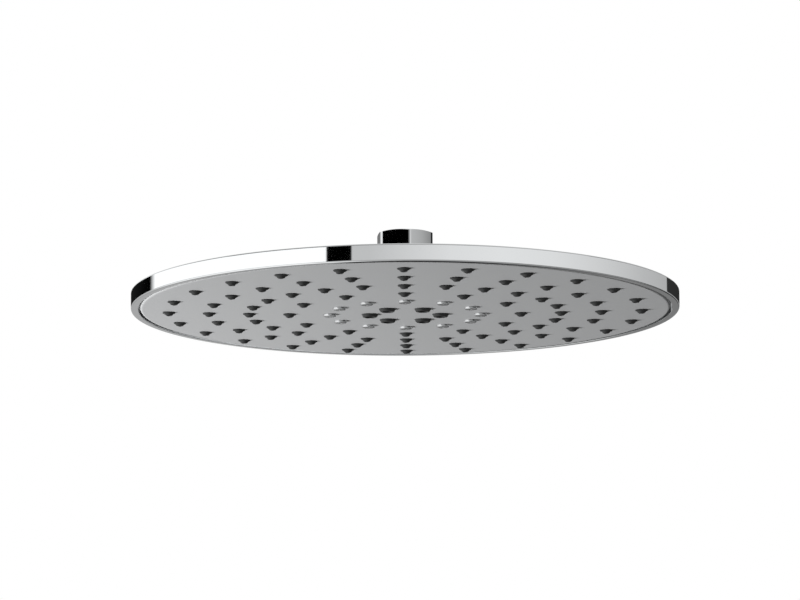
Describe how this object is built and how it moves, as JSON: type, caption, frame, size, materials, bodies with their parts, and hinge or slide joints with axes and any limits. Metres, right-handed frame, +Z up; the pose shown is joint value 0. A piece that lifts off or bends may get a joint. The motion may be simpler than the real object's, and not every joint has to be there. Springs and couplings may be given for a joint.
{
  "type": "rain shower head",
  "caption": "Round flat overhead shower head with a chromed rim, a grey nozzle face and a ball-joint inlet for a half-inch shower arm.",
  "frame": {"origin": "centre of the inlet's mouth, at the top of the neck", "axes": "+Z up along the inlet's axis, out of its mouth and away from the nozzle face; the disc lies across X and Y"},
  "size_m": [0.25, 0.25, 0.0391],
  "materials": {
    "polished_chrome": "polished chrome on brass",
    "chromed_plastic": "polished chrome on moulded ABS",
    "grey_plastic": "satin grey moulded ABS",
    "nozzle_silicone": "dark grey moulded silicone",
    "white_plastic": "white moulded acetal or ABS",
    "bare_brass": "turned brass",
    "screen_steel": "perforated stainless steel",
    "black_rubber": "black rubber seal"
  },
  "bodies": {
    "inlet": {"swivel_ball": "polished_chrome", "inlet_washer": "black_rubber", "filter_screen": "screen_steel", "flow_regulator": "white_plastic", "control_ring": "black_rubber"},
    "ball_rings": {"seat_ring": "black_rubber", "slide_ring": "white_plastic"},
    "head": {"ball_socket": "bare_brass", "socket_seal": "black_rubber", "socket_nut": "bare_brass", "collar_nut": "polished_chrome", "cover_nut": "polished_chrome", "cover_washer": "white_plastic", "top_cover": "chromed_plastic", "chamber_lid": "white_plastic", "chamber_seal": "black_rubber", "rain_mat": "nozzle_silicone", "jet_mat": "nozzle_silicone", "mist_jets": "polished_chrome", "face_plate": "grey_plastic"}
  },
  "joints": [
    {"name": "swivel_tilt", "type": "hinge", "parent": "inlet", "child": "ball_rings", "pos_m": [0, 0, -0.0176], "axis": [1, 0, 0], "range_deg": [-12, 12]},
    {"name": "swivel_spin", "type": "hinge", "parent": "ball_rings", "child": "head", "pos_m": [0, 0, -0.0176], "axis": [0, 0, 1], "continuous": true}
  ]
}
